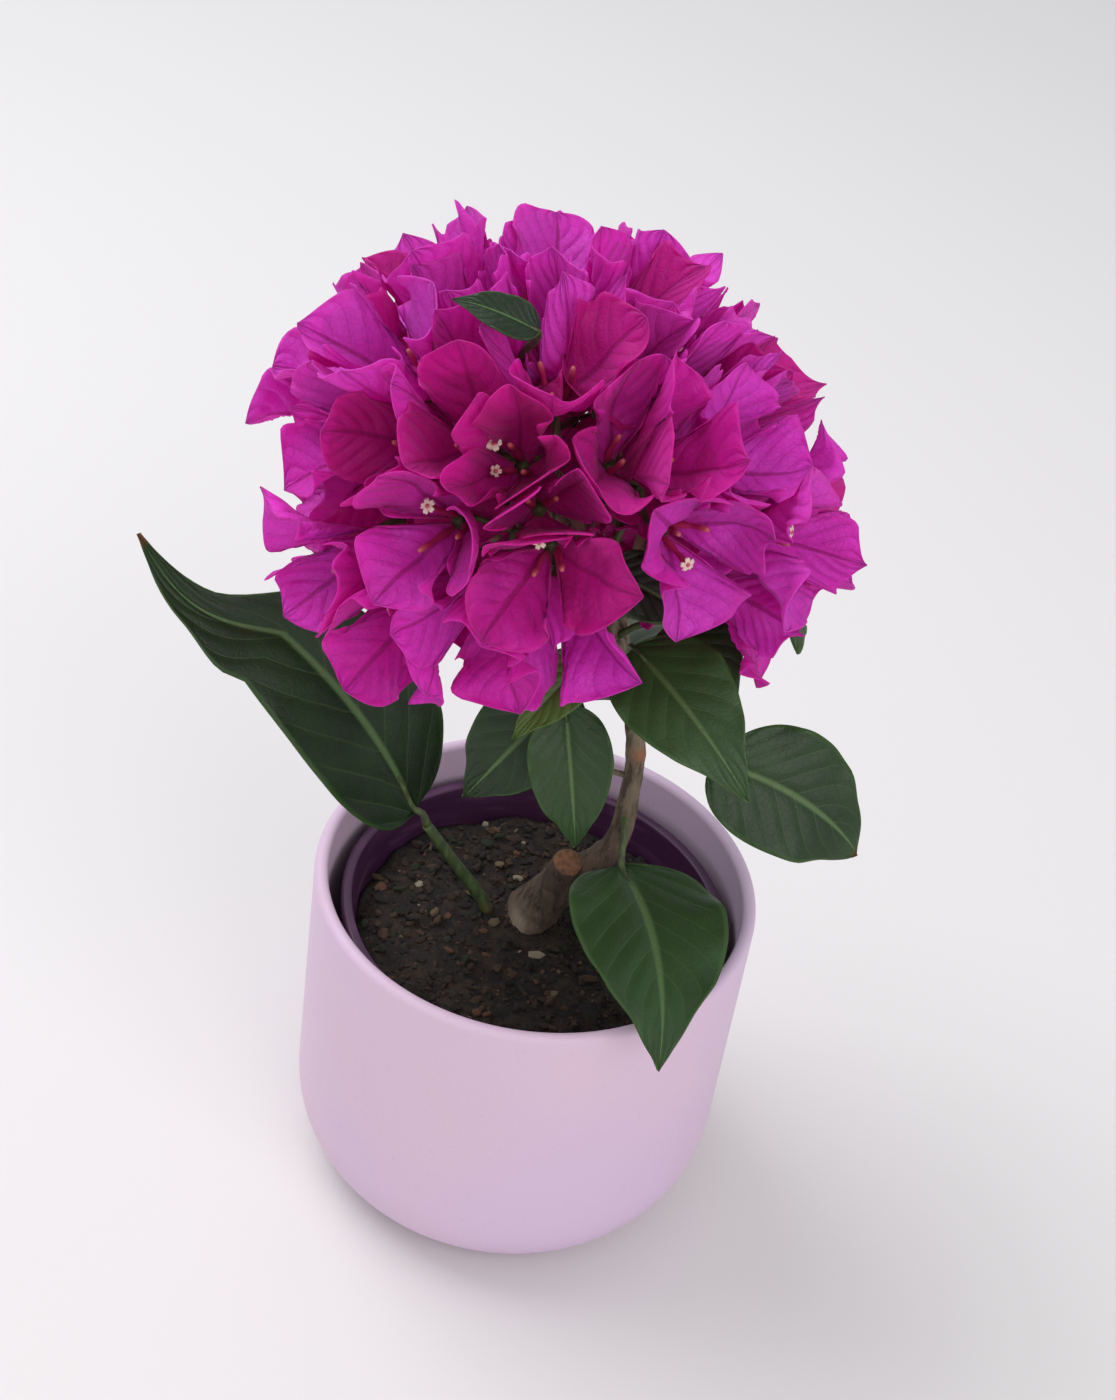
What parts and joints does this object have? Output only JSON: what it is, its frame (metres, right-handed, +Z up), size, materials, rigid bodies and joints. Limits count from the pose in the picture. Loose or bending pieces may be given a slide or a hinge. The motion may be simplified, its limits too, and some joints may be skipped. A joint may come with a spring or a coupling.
{
  "type": "potted bougainvillea",
  "caption": "Small bougainvillea bush with one bent woody stem, a dense round head of magenta bracts, large leaves below, in a matt pink round pot.",
  "frame": {"origin": "middle of the pot's flat underside, on the surface that it stands on", "axes": "+Z up along the pot's axis, -Y towards the side from which the stem and its low leaves are seen, +X to the right of that side"},
  "size_m": [0.208, 0.1604, 0.3161],
  "materials": {
    "pot": "matt pink glaze",
    "grow_pot": "thin smooth purple plastic",
    "soil": "moist dark potting soil with grit",
    "bark": "grey brown bark",
    "green_stem": "smooth green stem",
    "leaves": "satin dark green leaf",
    "blooms": "papery magenta bracts"
  },
  "bodies": {
    "root": {"pot": "pot", "grow_pot": "grow_pot", "soil": "soil", "trunk": "bark", "shoot_left": "green_stem", "bough_top": "bark", "bough_upper_right": "bark", "bough_upper_front": "bark", "bough_upper_back": "bark", "bough_left": "bark", "bough_right": "bark", "bough_back": "bark", "bough_left_low": "bark", "bough_front": "bark", "bough_back_right": "bark", "blooms_top_back": "blooms", "blooms_top_left": "blooms", "blooms_top_right": "blooms", "blooms_back_right": "blooms", "blooms_front_upper": "blooms", "blooms_front_middle": "blooms", "blooms_front_right": "blooms", "blooms_back_upper": "blooms", "blooms_back_left": "blooms", "blooms_left": "blooms", "blooms_front": "blooms", "blooms_right": "blooms", "blooms_right_low": "blooms", "blooms_back_low": "blooms", "blooms_back_left_low": "blooms", "blooms_left_low": "blooms", "blooms_front_left_low": "blooms", "blooms_front_low": "blooms", "blooms_back_right_low": "blooms", "leaf_far_left": "leaves", "leaf_low_right": "leaves", "leaf_far_right": "leaves", "leaf_front_right": "leaves", "leaf_front_left": "leaves", "leaf_front_low": "leaves", "leaf_front_small": "leaves", "leaf_right_small": "leaves", "leaf_back_left": "leaves", "leaf_back": "leaves", "leaf_back_right": "leaves"}
  },
  "joints": []
}
